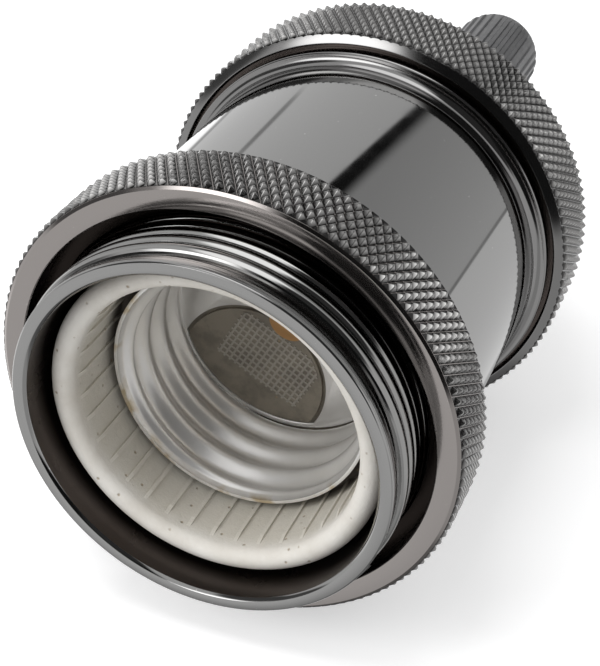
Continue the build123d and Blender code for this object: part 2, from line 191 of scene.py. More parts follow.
seen = room_layer(GLOSS_LEVEL, BELOW_LEVEL, room_step(room_along(-room_up), 0.55, 1.0))
room_patches = (
    (1.15, (-0.45, 0.89, 0.05), 0.93, 0.98),  # bright card low on the left
    (0.12, (-0.80, 0.30, -0.51), 0.955, 0.985),  # dark place on the left
    (0.10, (-0.88, -0.12, -0.46), 0.93, 0.97),  # dark place above that
    (0.55, (0.80, 0.25, -0.55), 0.90, 0.96),  # dim floor below the holder
    (2.20, room_up, 0.88, 0.95),  # softbox overhead
    (3.80, (-0.50, -0.10, -0.86), 0.955, 0.995),  # softbox left of the camera
    (0.012, (0.25, -0.40, -0.88), 0.80, 0.87),  # dark place below the camera
    (0.05, (0.25, -0.93, -0.28), 0.85, 0.93),  # dark place above it to the right
    (0.05, (0.05, -0.72, -0.69), 0.93, 0.97))  # the camera itself
for level, centre, start, end in room_patches:
    seen = room_layer(seen, level, room_step(room_along(centre), start, end))

card_level = map_node(nodes, links, card_edge, 0.05, 0.62, 0.55, 0.40)
left_level = map_node(nodes, links, flag_edge, 0.03, 0.62, 0.66, 0.82)
grey_card = product(nodes, links, beyond, room_step(card_edge, -0.012, 0.0))
card_rim = product(nodes, links, beyond, room_step(card_edge, -0.024, -0.014),
                   room_step(card_edge, 0.004, -0.004))
black_flag = product(nodes, links, beyond, room_step(flag_fade, 0.075, 0.135),
                     room_step(card_edge, 0.10, 0.30))
left_wall = product(nodes, links, beyond, room_step(flag_edge, 0.018, 0.030),
                    room_step(rightward, 0.14, 0.02))
short_streak = product(nodes, links, room_step(streak_edge, -0.028, -0.008),
                       room_step(streak_edge, 0.026, 0.008), room_step(behind, 0.790, 0.822),
                       room_step(behind, 0.850, 0.838), room_step(rightward, 0, -0.1))
dim_stripe = product(nodes, links, beyond, room_step(left_side, 0.385, 0.40),
                     room_step(rightward, -0.05, -0.1))
bright_stripe = product(nodes, links, beyond, room_step(left_side, 0.415, 0.45),
                        room_step(rightward, 0.0, -0.1))
far_patch = room_step(room_along((0.13, 0.58, 0.80)), 0.975, 0.995)
for level, mask in ((0.79, beyond), (card_level, grey_card), (0.30, card_rim),
                    (0.012, black_flag), (left_level, left_wall), (0.35, short_streak),
                    (0.50, dim_stripe), (1.45, bright_stripe), (0.42, far_patch)):
    seen = room_layer(seen, level, mask)

ray_kind = nodes.new("ShaderNodeLightPath").outputs
with_gloss = room_layer(PLAIN_LEVEL, seen, ray_kind["Is Glossy Ray"])
links.new(room_layer(with_gloss, 1.0, ray_kind["Is Camera Ray"]), room.inputs["Color"])

for name, energy, spot in (
        ("overhead_softbox", 0.70, room_up * 0.42 - camera_right * 0.10 - Vector((0, 0, 0.02))),
        ("left_softbox", 0.60, Vector((-0.304, -0.028, -0.236)))):
    lamp_data = bpy.data.lights.new(name, "AREA")
    lamp_data.shape = "RECTANGLE"
    lamp_data.size, lamp_data.size_y = LAMP_SIZE
    lamp_data.energy = energy
    lamp = bpy.data.objects.new(name, lamp_data)
    lamp.visible_glossy = False
    bpy.context.scene.collection.objects.link(lamp)
    lamp.location = spot
    lamp.rotation_euler = (spot - LAMP_AIM).to_track_quat("Z", "Y").to_euler()


# Body tube. One turned piece of steel with a black nickel plating: a lead-in with turning
# lines, the 40 mm thread for the shade ring, a polished barrel that runs out in a hollow, a
# flange and the plug that the cap screws on. The thread is a ridge wound round it.
TURN_STEPS = 240
TURNED_ANGLE = 14
BRIGHT_NICKEL = (0.372, 0.370, 0.366, 1)
WARM_NICKEL = (0.375, 0.348, 0.335, 1)
NEUTRAL_NICKEL = (0.345, 0.343, 0.338, 1)
HOLLOW_SHADE_NICKEL = (0.28, 0.277, 0.275, 1)
INNER_SHADE_NICKEL = (0.085, 0.072, 0.066, 1)


def draw_outline(name, outline):
    """A chain of edges through (radius, height) points in millimetres, in the XZ plane."""
    clear_selection()
    bpy.ops.mesh.primitive_plane_add(size=MM)
    piece = bpy.context.object
    piece.name = piece.data.name = name
    bpy.ops.object.mode_set(mode="EDIT")
    bpy.ops.mesh.merge(type="CENTER")
    bpy.ops.transform.translate(value=(outline[0][0] * MM, 0, outline[0][1] * MM))
    for (r, z), (last_r, last_z) in zip(outline[1:], outline):
        step = ((r - last_r) * MM, 0, (z - last_z) * MM)
        bpy.ops.mesh.extrude_region_move(TRANSFORM_OT_translate={"value": step})
    return piece


def close_up():
    """Merges doubles, turns the normals outwards and leaves edit mode."""
    bpy.ops.mesh.select_all(action="SELECT")
    bpy.ops.mesh.remove_doubles(threshold=MM / 1000)
    bpy.ops.mesh.normals_make_consistent(inside=False)
    bpy.ops.object.mode_set(mode="OBJECT")


def turn_outline(name, outline):
    """A turned piece: the closed outline spun once round the Z axis."""
    piece = draw_outline(name, outline + outline[:1])
    bpy.ops.mesh.select_all(action="SELECT")
    bpy.ops.mesh.spin(steps=TURN_STEPS, angle=2 * pi, center=(0, 0, 0), axis=(0, 0, 1))
    close_up()
    return piece


def arc_points(centre_r, centre_z, radius, start, end, steps):
    """Points on an arc of an outline, angles in degrees from the radial direction."""
    return [(centre_r + radius * cos(radians(start + (end - start) * i / steps)),
             centre_z + radius * sin(radians(start + (end - start) * i / steps)))
            for i in range(steps + 1)]


def apply_modifier(piece, kind, **settings):
    """Adds one modifier to the piece, sets it and applies it."""
    clear_selection()
    piece.select_set(True)
    bpy.context.view_layer.objects.active = piece
    bpy.ops.object.modifier_add(type=kind)
    modifier = piece.modifiers[-1]
    for setting, value in settings.items():
        setattr(modifier, setting, value)
    bpy.ops.object.modifier_apply(modifier=modifier.name)


def round_edges(piece, width, segments=2, angle=30):
    """Breaks the sharp edges of a piece."""
    apply_modifier(piece, "BEVEL", width=width * MM, segments=segments,
                   limit_method="ANGLE", angle_limit=radians(angle))


def smooth(piece, angle, even=True):
    """Smooth shading that keeps hard edges, weighted so that flat faces stay flat."""
    clear_selection()
    piece.select_set(True)
    bpy.context.view_layer.objects.active = piece
    bpy.ops.object.shade_smooth_by_angle(angle=radians(angle))
    if even:
        apply_modifier(piece, "WEIGHTED_NORMAL", keep_sharp=True)


def paint(piece, finishes, choose):
    """Gives each face of a turned piece the finish that choose names for its place."""
    for finish in finishes:
        piece.data.materials.append(finish)
    for face in piece.data.polygons:
        radius = hypot(face.center.x, face.center.y) / MM
        face.material_index = finishes.index(choose(radius, face.center.z / MM))


def join(base, *others):
    """Joins pieces into the first one."""
    clear_selection()
    for piece in (base, *others):
        piece.select_set(True)
    bpy.context.view_layer.objects.active = base
    bpy.ops.object.join()


def dress(piece, body, slot, *replaced):
    """Tells the frame what a finished piece rides on and hides the nodes it stands for. The slot is
    not used.
    """
    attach(piece, body)
    if replaced:
        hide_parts(*replaced)


def noise_node(nodes, links, vector, scale, detail, roughness=0.5):
    """The value of a noise texture at a vector."""
    node = nodes.new("ShaderNodeTexNoise")
    node.inputs["Scale"].default_value = scale
    node.inputs["Detail"].default_value = detail
    node.inputs["Roughness"].default_value = roughness
    links.new(vector, node.inputs["Vector"])
    return node.outputs["Fac"]


def bump_node(nodes, links, height, distance, shader):
    """Bump of a real height in millimetres on the shader's normal."""
    node = nodes.new("ShaderNodeBump")
    node.inputs["Distance"].default_value = distance * MM
    links.new(height, node.inputs["Height"])
    links.new(node.outputs["Normal"], shader.inputs["Normal"])


def colour_mix(nodes, links, mask, first, second):
    """Blends two colours by a mask and returns the socket."""
    mix = nodes.new("ShaderNodeMix")
    mix.data_type = "RGBA"
    links.new(mask, mix.inputs["Factor"])
    for value, socket in ((first, mix.inputs["A"]), (second, mix.inputs["B"])):
        if isinstance(value, tuple):
            socket.default_value = value
        else:
            links.new(value, socket)
    return mix.outputs["Result"]


def axis_distance(nodes, links, place):
    """Distance from the Z axis and height of a point."""
    split = nodes.new("ShaderNodeSeparateXYZ")
    links.new(place, split.inputs[0])
    square = math_node(nodes, links, "MULTIPLY", split.outputs["X"], split.outputs["X"])
    square = math_node(nodes, links, "MULTIPLY_ADD", split.outputs["Y"], split.outputs["Y"], square)
    return math_node(nodes, links, "SQRT", square), split.outputs["Z"]


def turning_lines(nodes, links, place, per_mm):
    """Fine rings round the Z axis, on cylinders by height and on flat faces by radius."""
    radius, height = axis_distance(nodes, links, place)
    along = math_node(nodes, links, "MULTIPLY_ADD", height, 1.37, radius)
    lines = nodes.new("ShaderNodeTexNoise")
    lines.noise_dimensions = "1D"
    lines.inputs["Detail"].default_value = 3.0
    lines.inputs["Scale"].default_value = 1.0
    links.new(math_node(nodes, links, "MULTIPLY", along, per_mm / MM), lines.inputs["W"])
    return lines.outputs["Fac"]


def plated_metal(name, colour, polish, line_depth, per_mm=6.0):
    """Plated turned metal with turning lines, slightly uneven polish and specks of dust."""
    material, nodes, links, shader, place = new_material(name)
    haze = noise_node(nodes, links, place, 260.0, 4.0, 0.6)
    dust = map_node(nodes, links, noise_node(nodes, links, place, 2400.0, 2.0), 0.745, 0.775)
    dusty = tuple(min(1.0, part * 1.5) for part in colour[:3]) + (1,)
    links.new(colour_mix(nodes, links, dust, colour, dusty), shader.inputs["Base Color"])
    shader.inputs["Metallic"].default_value = 1.0
    links.new(map_node(nodes, links, haze, 0.3, 0.7, polish, polish + 0.03),
              shader.inputs["Roughness"])
    bump_node(nodes, links, turning_lines(nodes, links, place, per_mm), line_depth, shader)
    return material


polished_plating = plated_metal("polished_black_nickel", BRIGHT_NICKEL, 0.035, 0.00012, 5.0)
mouth_plating = plated_metal("mouth_black_nickel", BRIGHT_NICKEL, 0.10, 0.0005)
# Painted shade: a near-black plating on the tube's bore behind the ceramic and on the cap's inside,
# darker than the nickel is.
inner_shade_plating = plated_metal("inner_shade_black_nickel", INNER_SHADE_NICKEL, 0.25, 0.0006)
thread_plating = plated_metal("threaded_black_nickel", NEUTRAL_NICKEL, 0.07, 0.0016)
# Painted shade: a darker plating on the hollow, flange and plug under the cap's rim, and on the
# rim's front and bevels.
hollow_shade_plating = plated_metal("hollow_shade_black_nickel", HOLLOW_SHADE_NICKEL, 0.10, 0.0004)
lined_plating = plated_metal("lined_black_nickel", BRIGHT_NICKEL, 0.06, 0.016, 4.0)

BORE_RADIUS = 18.0
MOUTH_DEPTH = 0.14
WIDE_BORE = 19.4
LEAD_IN_RADIUS = 19.5
LEAD_IN_TOP = 1.3
THREAD_ROOT = 19.44
UNDERCUT = 19.0
SHOULDER_Z = 15.0
BARREL_RADIUS = 21.0
HOLLOW_Z = 41.7
HOLLOW_RADIUS = 1.0
FLANGE_RADIUS = 22.3
FLANGE_BACK = 44.4
PLUG_RADIUS = 21.4
PLUG_TOP = 50.4
body_tube = turn_outline("body_tube", [
    (BORE_RADIUS, 17.0), (BORE_RADIUS, 0.3), (18.3, 0.0), (19.35, 0.0), (LEAD_IN_RADIUS, 0.15),
    (LEAD_IN_RADIUS, 1.2), (THREAD_ROOT, LEAD_IN_TOP), (THREAD_ROOT, 13.4), (UNDERCUT, 13.6),
    (UNDERCUT, SHOULDER_Z), (20.7, SHOULDER_Z), (BARREL_RADIUS, 15.3), (BARREL_RADIUS, 15.5),
    (BARREL_RADIUS, HOLLOW_Z - 0.1)]
    + arc_points(BARREL_RADIUS + HOLLOW_RADIUS, HOLLOW_Z, HOLLOW_RADIUS, 180, 90, 10)
    + [(22.15, HOLLOW_Z + HOLLOW_RADIUS), (FLANGE_RADIUS, 42.85), (FLANGE_RADIUS, FLANGE_BACK),
       (PLUG_RADIUS, FLANGE_BACK), (PLUG_RADIUS, 50.1), (21.1, PLUG_TOP), (WIDE_BORE, PLUG_TOP),
       (WIDE_BORE, 18.4)])
round_edges(body_tube, 0.05)


def tube_finish(radius, height):
    """The plating that the tube shows at a radius and a height."""
    if height > HOLLOW_Z - 0.05:
        return hollow_shade_plating
    if height >= SHOULDER_Z + 0.1:
        return polished_plating
    if radius < BORE_RADIUS + 0.02:
        return inner_shade_plating
    if height < MOUTH_DEPTH:
        return mouth_plating
    if radius > LEAD_IN_RADIUS - 0.1 and height < LEAD_IN_TOP + 0.05:
        return lined_plating
    return thread_plating


paint(body_tube, (polished_plating, mouth_plating, inner_shade_plating, thread_plating,
                  hollow_shade_plating, lined_plating), tube_finish)

THREAD_PITCH = 1.5
THREAD_START = 1.8
THREAD_TURNS = 8
THREAD_FRONT = 1.05
THREAD_END = 13.5
CREST = 19.90
CREST_ROUND = 0.894
CREST_ARC = 44
RIDGE_ROOT = 19.40
RIDGE_HALF = 0.73
RUN_OUT_ROOT = 19.38
RUN_OUT_SLOPE = 1.1
thread_ridge = draw_outline("thread_ridge", [(RIDGE_ROOT, -RIDGE_HALF)]
                            + arc_points(CREST - CREST_ROUND, 0, CREST_ROUND,
                                         -CREST_ARC, CREST_ARC, 8)
                            + [(RIDGE_ROOT, RIDGE_HALF), (RIDGE_ROOT, -RIDGE_HALF)])
close_up()
apply_modifier(thread_ridge, "SCREW", axis="Z", angle=2 * pi, screw_offset=THREAD_PITCH * MM,
               iterations=THREAD_TURNS, steps=TURN_STEPS, render_steps=TURN_STEPS,
               use_smooth_shade=False)


def hold_within(piece, radius_at, lift=0.0, low=-inf, high=inf):
    """Lifts a piece's points, then holds them from low to high and in to a radius by height."""
    for vertex in piece.data.vertices:
        x, y, z = vertex.co / MM
        z = min(max(z + lift, low), high)
        scale = min(1.0, radius_at(z) / hypot(x, y))
        vertex.co = Vector((x * scale, y * scale, z)) * MM


hold_within(thread_ridge, lambda z: RUN_OUT_ROOT + RUN_OUT_SLOPE * min(
    z - THREAD_FRONT, THREAD_END - z), THREAD_START, THREAD_FRONT, THREAD_END)
bpy.context.view_layer.objects.active = thread_ridge
bpy.ops.object.mode_set(mode="EDIT")
bpy.ops.mesh.select_all(action="SELECT")
bpy.ops.mesh.normals_make_consistent(inside=False)
bpy.ops.object.mode_set(mode="OBJECT")
thread_ridge.data.materials.append(thread_plating)
join(body_tube, thread_ridge)
smooth(body_tube, TURNED_ANGLE, even=False)
dress(body_tube, "housing", "dark_plating", "body_shell")


# Shade ring. A turned ring nut of the same plated steel. Its outside is knurled with small
# pointed diamonds that a wheel presses in, and a smooth bevel is turned on each edge after.
KNURL_COUNT = 134
KNURL_ROW = 0.985
KNURL_ROOT = 23.93
KNURL_TIP = 24.36
KNURL_EDGE = 0.045
VALLEY_RADIUS = 23.96
TIP_RADIUS = 24.26
FACE_RADIUS = 23.6
BEVEL_HEIGHT = 0.4
BEVEL_WIDTH = 0.7
BEVEL_FOOT = KNURL_ROOT + 0.03
KNURL_INSET = (KNURL_ROOT - FACE_RADIUS) * BEVEL_HEIGHT / BEVEL_WIDTH
VALLEY_SHADE_NICKEL = (0.05, 0.049, 0.048, 1)
TIP_NICKEL = (0.33, 0.325, 0.32, 1)
RECESS_SHADE_NICKEL = (0.020, 0.016, 0.014, 1)
turned_plating = plated_metal("turned_black_nickel", WARM_NICKEL, 0.09, 0.0005)
# Painted shade: near black in the ring's recess behind its face.
recess_shade_plating = plated_metal("recess_shade_black_nickel", RECESS_SHADE_NICKEL, 0.25, 0.0006)
knurled_plating, nodes, links, shader, place = new_material("knurled_black_nickel")
shader.inputs["Metallic"].default_value = 1.0
shader.inputs["Roughness"].default_value = 0.13
radius, height = axis_distance(nodes, links, place)
# Painted shade: the knurl's colour runs by radius from near black in the valleys to plain nickel on
# the tips.
links.new(colour_mix(
    nodes, links, map_node(nodes, links, radius, VALLEY_RADIUS * MM, TIP_RADIUS * MM),
    VALLEY_SHADE_NICKEL, TIP_NICKEL), shader.inputs["Base Color"])
bump_node(nodes, links, noise_node(nodes, links, place, 3000.0, 2.0), 0.02, shader)


def knurl_band(name, first_row, rows, low, high):
    """Diamonds on a band: one is modelled, then repeated round it and row by row."""
    half_width = pi * KNURL_ROOT / KNURL_COUNT
    clear_selection()
    bpy.ops.mesh.primitive_cone_add(vertices=4, radius1=MM, radius2=0.2 * MM, depth=MM,
                                    rotation=(0, pi / 2, 0))
    diamond = bpy.context.object
    diamond.name = diamond.data.name = name
    bpy.ops.object.transform_apply(location=False, rotation=True, scale=False)
    bpy.ops.object.mode_set(mode="EDIT")
    bpy.ops.mesh.select_all(action="SELECT")
    height = KNURL_TIP - KNURL_ROOT
    bpy.ops.transform.resize(value=(height, half_width, KNURL_ROW), center_override=(0, 0, 0))
    bpy.ops.transform.translate(value=((KNURL_ROOT + height / 2) * MM, 0, first_row * MM))
    round_edges(diamond, KNURL_EDGE, 1, 20)
    round_step = bpy.data.objects.new("round_step", None)
    row_step = bpy.data.objects.new("row_step", None)
    for helper in (round_step, row_step):
        bpy.context.scene.collection.objects.link(helper)
    round_step.rotation_euler = (0, 0, 2 * pi / KNURL_COUNT)
    row_step.rotation_euler = (0, 0, pi / KNURL_COUNT)
    row_step.location = (0, 0, KNURL_ROW * MM)
    bpy.context.view_layer.update()
    for helper, count in ((row_step, rows), (round_step, KNURL_COUNT)):
        apply_modifier(diamond, "ARRAY", count=count, use_relative_offset=False,
                       use_object_offset=True, offset_object=helper)
    for helper in (round_step, row_step):
        bpy.data.objects.remove(helper)
    bpy.ops.object.mode_set(mode="EDIT")
    for level, way in ((low, -1), (high, 1)):
        bpy.ops.mesh.select_all(action="SELECT")
        bpy.ops.mesh.bisect(plane_co=(0, 0, level * MM), plane_no=(0, 0, way),
                            use_fill=True, clear_outer=True)
    bpy.ops.mesh.select_all(action="SELECT")
    bpy.ops.mesh.normals_make_consistent(inside=False)
    bpy.ops.object.mode_set(mode="OBJECT")
    hold_within(diamond, lambda z: BEVEL_FOOT + min(
        z - low, high - z) * BEVEL_WIDTH / BEVEL_HEIGHT)
    diamond.data.materials.append(knurled_plating)
    smooth(diamond, 20, even=False)
    return diamond


def bevelled_band(low, high):
    """Outline of a knurled band's core with its two turned bevels, from low to high."""
    return [(FACE_RADIUS, low), (KNURL_ROOT, low + KNURL_INSET),
            (KNURL_ROOT, high - KNURL_INSET), (FACE_RADIUS, high)]


RING_Z = 5.8
RING_TOP = 13.5
RECESS_RADIUS = 21.6
RECESS_TOP = 8.4
RING_BORE = 19.98
RING_FIRST_ROW = 6.66 - KNURL_ROW
RING_ROWS = 9
knurled_ring = turn_outline("knurled_ring", [(21.72, RING_Z)] + bevelled_band(RING_Z, RING_TOP) + [
    (20.25, RING_TOP), (RING_BORE, 13.23), (RING_BORE, 8.55), (20.13, RECESS_TOP),
    (RECESS_RADIUS, RECESS_TOP), (RECESS_RADIUS, RING_Z + 0.12)])
round_edges(knurled_ring, 0.03)
paint(knurled_ring, (turned_plating, recess_shade_plating), lambda radius, height: (
    recess_shade_plating if radius < RECESS_RADIUS + 0.03 and height > RING_Z + 0.06
    else turned_plating))
ring_knurl = knurl_band("ring_knurl", RING_FIRST_ROW, RING_ROWS, RING_Z + KNURL_INSET,
                        RING_TOP - KNURL_INSET)
smooth(knurled_ring, TURNED_ANGLE, even=False)
join(knurled_ring, ring_knurl)
dress(knurled_ring, "ring", "dark_plating", "shade_ring")


# Rear cap. Turned like the tube and plated with it: a knurled rim laps over the flange and
# screws on the plug, a dome closes the back, and a flat collar carries the cord grip.
RIM_Z = 43.8
RIM_FRONT = 43.55
RIM_TOP = 53.2
DOME_R = 5.6
DOME_Z = 54.0
DOME_ROUND = 15.9
DOME_INSIDE = 14.5
COLLAR_RADIUS = 9.0
COLLAR_TOP = 70.95
STEM_HOLE = 5.1
CAP_BORE = 21.46
LIP_RADIUS = 22.75
RIM_INSIDE = 22.97
RIM_FIRST_ROW = 44.7 - KNURL_ROW
RIM_ROWS = 11
domed_cap = turn_outline("domed_cap", [(23.03, RIM_FRONT)] + bevelled_band(RIM_Z, RIM_TOP)[1:] + [
    (21.9, RIM_TOP), (21.5, 53.6)]
    + arc_points(DOME_R, DOME_Z, DOME_ROUND, 0, 76.3, 26)
    + [(COLLAR_RADIUS, 69.6), (COLLAR_RADIUS, 70.75), (8.8, COLLAR_TOP), (STEM_HOLE, COLLAR_TOP),
       (STEM_HOLE, 67.75)]
    + arc_points(DOME_R, DOME_Z, DOME_INSIDE, 71.5, 0, 16)
    + [(20.1, 53.6), (21.0, 52.4), (21.2, 50.7), (CAP_BORE, 50.7), (CAP_BORE, FLANGE_BACK),
       (LIP_RADIUS, FLANGE_BACK), (LIP_RADIUS, 43.95), (22.95, RIM_FRONT + 0.02)])
round_edges(domed_cap, 0.04)


def cap_finish(radius, height):
    """The plating that the cap shows at a radius and a height."""
    if height >= RIM_TOP + 0.1:
        return polished_plating
    return hollow_shade_plating if radius > RIM_INSIDE else inner_shade_plating


paint(domed_cap, (polished_plating, hollow_shade_plating, inner_shade_plating), cap_finish)
rim_knurl = knurl_band("rim_knurl", RIM_FIRST_ROW, RIM_ROWS, RIM_Z + KNURL_INSET,
                       RIM_TOP - KNURL_INSET)
smooth(domed_cap, TURNED_ANGLE, even=False)
join(domed_cap, rim_knurl)
dress(domed_cap, "cap", "dark_plating", "rear_cap")


# Ceramic insert. Unglazed steatite pressed in a die: a rounded rim, thin ribs that the die
# leaves inside the skirt, a pocket for the screw shell and a thick base with its holes. Its
# own solid is taken over, merged and smoothed, and the pad gets its raised waffle pattern.
CREAM = (0.68, 0.645, 0.585, 1)
PALE_CREAM = (0.79, 0.765, 0.715, 1)
WALL_SHADE_BROWN = (0.60, 0.57, 0.50, 1)
PAD_STAIN_AND_SHADE_BROWN = (0.25, 0.222, 0.175, 1)
GAP_SHADE_AND_STAIN_BROWN = (0.10, 0.085, 0.07, 1)
STAIN_BROWN = (0.33, 0.25, 0.16, 1)
PAD_TOP = 22.0
steatite, nodes, links, shader, place = new_material("unglazed_steatite")
shader.inputs["Roughness"].default_value = 0.6
clouds = noise_node(nodes, links, place, 160.0, 5.0, 0.6)
grain = noise_node(nodes, links, place, 2600.0, 3.0, 0.7)
radius, height = axis_distance(nodes, links, place)
pits = nodes.new("ShaderNodeTexVoronoi")
pits.inputs["Scale"].default_value = 820.0
links.new(place, pits.inputs["Vector"])
pit = product(nodes, links,
              map_node(nodes, links, pits.outputs["Distance"], 0.06, 0.17, 1.0, 0.0),
              map_node(nodes, links, noise_node(nodes, links, place, 520.0, 1.0), 0.50, 0.56))


def clay_mask(value, start, end):
    """A mask of the ceramic by radius or height, 0 at start and 1 at end, in millimetres."""
    return map_node(nodes, links, value, start * MM, end * MM)


inside = product(nodes, links, clay_mask(radius, 15.25, 14.95), clay_mask(height, 4.2, 5.6))
before_base = clay_mask(height, 22.9, 22.7)
# The pad floor is turned a dark brown: partly stain, partly painted shade at the bottom of the
# socket.
floor_mask = product(nodes, links, clay_mask(height, 20.0, 21.0), before_base,
                     clay_mask(radius, 13.4, 13.2))
# Painted shade: the inside of the skirt is turned a darker brown, unevenly by the clouds.
wall_shade = product(nodes, links, inside, map_node(nodes, links, clouds, 0.30, 0.60, 0.95, 0.70))
# Painted shade: near black deep in the skirt, behind the shell's lip. The same colour also marks
# the stain blots on the pad.
gap_shade = product(nodes, links, inside, clay_mask(height, 10.4, 12.4), before_base)
blots = product(nodes, links, map_node(
    nodes, links, noise_node(nodes, links, place, 330.0, 4.0, 0.65), 0.42, 0.62), 0.55, floor_mask)
ridges = product(nodes, links, inside, clay_mask(height, 14.0, 12.0),
                 clay_mask(radius, 14.88, 14.72))
waffle = product(nodes, links, floor_mask, clay_mask(height, PAD_TOP - 0.015, PAD_TOP - 0.06))
# Painted light: the tops of the ribs and the grid bars are pulled back towards cream, lighter than
# the painted shade round them.
raised = math_node(nodes, links, "MAXIMUM", ridges, waffle)
tone = colour_mix(nodes, links, map_node(nodes, links, clouds, 0.35, 0.62), CREAM, PALE_CREAM)
for mask, strength, colour in (
        (wall_shade, 1.0, WALL_SHADE_BROWN), (gap_shade, 1.0, GAP_SHADE_AND_STAIN_BROWN), (floor_mask, 0.9, PAD_STAIN_AND_SHADE_BROWN),
        (blots, 1.0, GAP_SHADE_AND_STAIN_BROWN), (raised, 0.30, CREAM), (pit, 0.8, STAIN_BROWN)):
    tone = colour_mix(nodes, links, product(nodes, links, mask, strength), tone, colour)
links.new(tone, shader.inputs["Base Color"])
bump_node(nodes, links, math_node(nodes, links, "SUBTRACT", grain, product(
    nodes, links, pit, 1.6)), 0.05, shader)


def own_solid(name, node, finish, angle):
    """A piece from a CAD node's own solid: its triangles merged and smoothly shaded."""
    clear_selection()
    piece = bpy.data.objects.new(name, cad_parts[node].data.copy())
    piece.data.name = name
    bpy.context.scene.collection.objects.link(piece)
    piece.data.materials.clear()
    piece.data.materials.append(finish)
    bpy.context.view_layer.objects.active = piece
    piece.select_set(True)
    bpy.ops.object.mode_set(mode="EDIT")
    bpy.ops.mesh.select_all(action="SELECT")
    bpy.ops.mesh.customdata_custom_splitnormals_clear()
    close_up()
    smooth(piece, angle)
    return piece


RIB_REACH = 14.8
RIB_FRONT = 5.0
RIB_SLOPE = 1.2
insert_body = own_solid("insert_body", "ceramic_insert", steatite, 35)
for vertex in insert_body.data.vertices:
    if hypot(vertex.co.x, vertex.co.y) < RIB_REACH * MM and vertex.co.z < RIB_FRONT * MM:
        vertex.co.z += RIB_SLOPE * MM


def new_block(name, size, centre):
    """A block of a size round a centre, in millimetres, left in edit mode to be shaped."""
    clear_selection()
    bpy.ops.mesh.primitive_cube_add(size=MM)
    piece = bpy.context.object
    piece.name = piece.data.name = name
    bpy.ops.object.mode_set(mode="EDIT")
    bpy.ops.mesh.select_all(action="SELECT")
    bpy.ops.transform.resize(value=size, center_override=(0, 0, 0))
    bpy.ops.transform.translate(value=tuple(part * MM for part in centre))
    return piece


GRID_PITCH = 0.7
GRID_PLACE = (0.6, 4.7, PAD_TOP + 0.02)
BARS_ACROSS = 15
BARS_ALONG = 10
BAR_WIDTH = 0.26
BAR_DEPTH = 0.24
PAD_Y = 8
GRID_LIMIT = 7.8
grid_bars = []
for count, crossing, turn in ((BARS_ACROSS, BARS_ALONG, 0), (BARS_ALONG, BARS_ACROSS, pi / 2)):
    bars = new_block("pad_grid", (BAR_WIDTH, GRID_PITCH * crossing, BAR_DEPTH),
                     (-GRID_PITCH * (count - 1) / 2, 0, 0))
    round_edges(bars, 0.06, 2)
    apply_modifier(bars, "ARRAY", count=count, use_relative_offset=False,
                   use_constant_offset=True, constant_offset_displace=(GRID_PITCH * MM, 0, 0))
    bpy.ops.object.mode_set(mode="EDIT")
    bpy.ops.mesh.select_all(action="SELECT")
    bpy.ops.transform.rotate(value=turn, orient_axis="Z", center_override=(0, 0, 0))
    bpy.ops.transform.translate(value=tuple(part * MM for part in GRID_PLACE))
    bpy.ops.object.mode_set(mode="OBJECT")
    for vertex in bars.data.vertices:
        x, y = vertex.co.x / MM, vertex.co.y / MM
        if turn:
            chord = (GRID_LIMIT ** 2 - (PAD_Y - y) ** 2) ** 0.5
            vertex.co.x = min(max(x, -chord), chord) * MM
        else:
            vertex.co.y = max(y, PAD_Y - (GRID_LIMIT ** 2 - x ** 2) ** 0.5) * MM
    grid_bars.append(bars)
pad_grid, cross_bars = grid_bars
join(pad_grid, cross_bars)
pad_grid.data.materials.append(steatite)
smooth(pad_grid, 40, even=False)
join(insert_body, pad_grid)
dress(insert_body, "cap", "steatite", "ceramic_insert")


# Screw shell. Rolled aluminium sheet: a flared lip, a plain band, the round thread, and a
# bottom cut out round the pad and the spring. Off-centre rings make the true thread.
SHELL_MEAN = 12.73
SHELL_WAVE = 0.55
SHELL_PITCH = 3.629
SHELL_LIP = 9.8
THREAD_FOOT = 11.4
EASE_START = SHELL_LIP + 0.7
EASE_LENGTH = 0.9
SHEET = 0.35
FLOOR_Z = 22.4
SATIN_GREY = (0.83, 0.82, 0.80, 1)
SATIN_WHITE = (0.92, 0.91, 0.895, 1)
LIP_BROWN = (0.52, 0.38, 0.16, 1)
rolled_aluminium, nodes, links, shader, place = new_material("rolled_aluminium")
shader.inputs["Metallic"].default_value = 0.72
stain = noise_node(nodes, links, place, 120.0, 4.0, 0.6)
tint = colour_mix(nodes, links, map_node(nodes, links, stain, 0.35, 0.70),
                  SATIN_GREY, SATIN_WHITE)
radius, height = axis_distance(nodes, links, place)
lip_stain = product(
    nodes, links, map_node(nodes, links, height, 10.6 * MM, 9.9 * MM),
    map_node(nodes, links, noise_node(nodes, links, place, 230.0, 3.0), 0.52, 0.6), 0.7)
links.new(colour_mix(nodes, links, lip_stain, tint, LIP_BROWN), shader.inputs["Base Color"])
links.new(map_node(nodes, links, stain, 0.3, 0.7, 0.28, 0.32), shader.inputs["Roughness"])
bump_node(nodes, links, turning_lines(nodes, links, place, 5.0), 0.005, shader)


def shell_centre(z):
    """Where the off-centre ring of the thread stands at a height."""
    turn = 2 * pi * (z - THREAD_FOOT) / SHELL_PITCH
    ease = min(1.0, max(0.0, (z - EASE_START) / EASE_LENGTH))
    return SHELL_WAVE * ease * cos(turn), SHELL_WAVE * ease * sin(turn)


